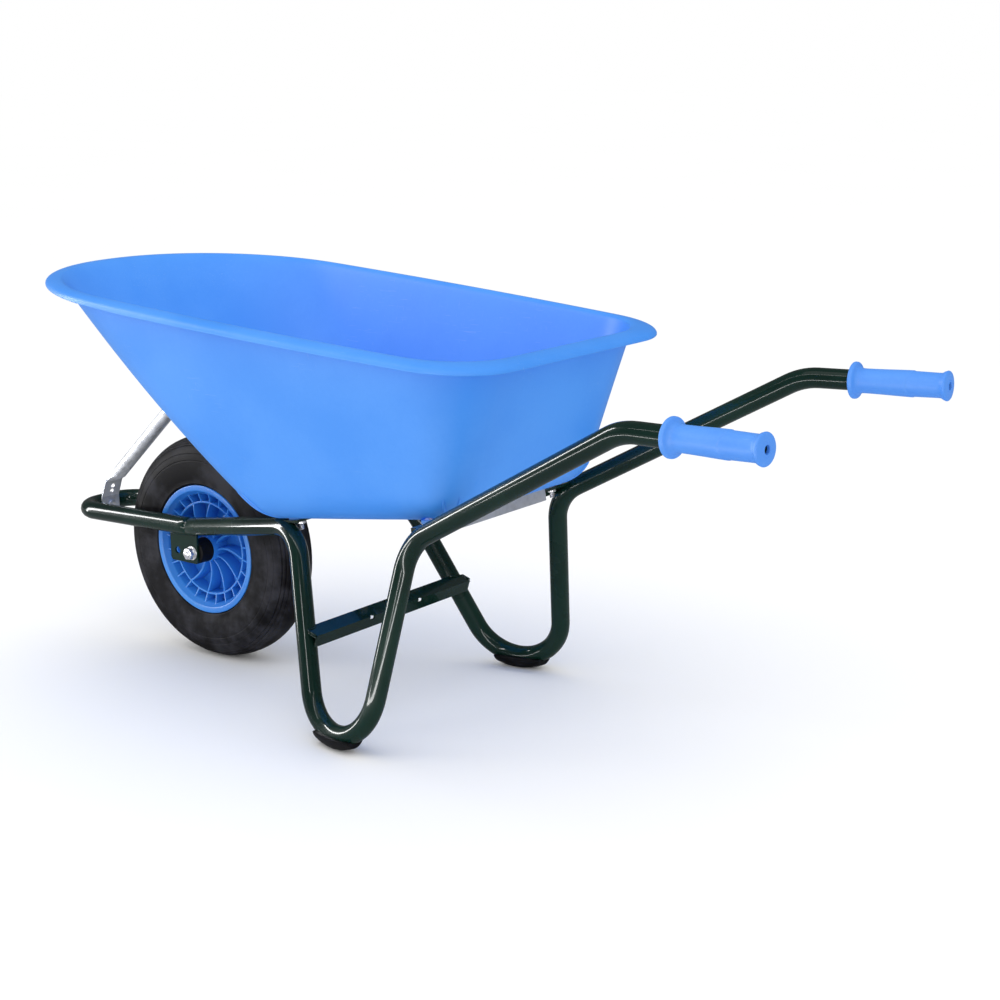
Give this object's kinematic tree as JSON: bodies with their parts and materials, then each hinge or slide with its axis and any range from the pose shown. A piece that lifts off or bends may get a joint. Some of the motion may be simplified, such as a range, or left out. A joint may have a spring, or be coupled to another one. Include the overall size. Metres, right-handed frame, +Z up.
{
  "type": "wheelbarrow",
  "caption": "Wheelbarrow with a deep moulded tray, a bent steel tube frame with legs and handles, and one spoked pneumatic wheel.",
  "frame": {"origin": "centre of the bounding box at the ground", "axes": "+X from the wheel to the handles, +Y to the left of the person who pushes, +Z up; Y = 0 is the plane of symmetry"},
  "size_m": [1.5872, 0.6076, 0.6947],
  "materials": {
    "blue_poly": "moulded polypropylene with a soft sheen",
    "rim_poly": "moulded, satin",
    "tyre": "smooth black tyre rubber, dusty",
    "black_rubber": "smooth",
    "black_plastic": "moulded, satin",
    "green_coat": "glossy dark green powder coat on steel tube",
    "zinc": "bright zinc plating"
  },
  "bodies": {
    "frame": {"axle": "zinc", "axle_nut": "zinc", "axle_washers": "zinc", "front_strut": "zinc", "left_axle_bracket": "green_coat", "left_foot_pad": "black_plastic", "left_frame_tube": "green_coat", "left_front_lug": "green_coat", "left_grip": "blue_poly", "left_rear_lug": "green_coat", "leg_brace": "green_coat", "rear_cross_strap": "zinc", "right_axle_bracket": "green_coat", "right_foot_pad": "black_plastic", "right_frame_tube": "green_coat", "right_front_lug": "green_coat", "right_grip": "blue_poly", "right_rear_lug": "green_coat", "strut_foot_bolt": "zinc", "strut_foot_nut": "zinc", "strut_tray_bolt": "zinc", "strut_tray_nut": "zinc", "strut_tray_washer": "zinc", "tray": "blue_poly", "tray_bolts": "zinc", "tray_nuts": "zinc", "tray_washers": "zinc"},
    "wheel": {"inner_tube": "black_rubber", "left_hub_bush": "black_plastic", "right_hub_bush": "black_plastic", "tyre": "tyre", "valve_cap": "black_plastic", "valve_stem": "black_rubber", "wheel_rim": "rim_poly"}
  },
  "joints": [
    {"name": "wheel_spin", "type": "hinge", "parent": "frame", "child": "wheel", "pos_m": [-0.4651, 0, 0.2], "axis": [0, 1, 0], "continuous": true}
  ]
}
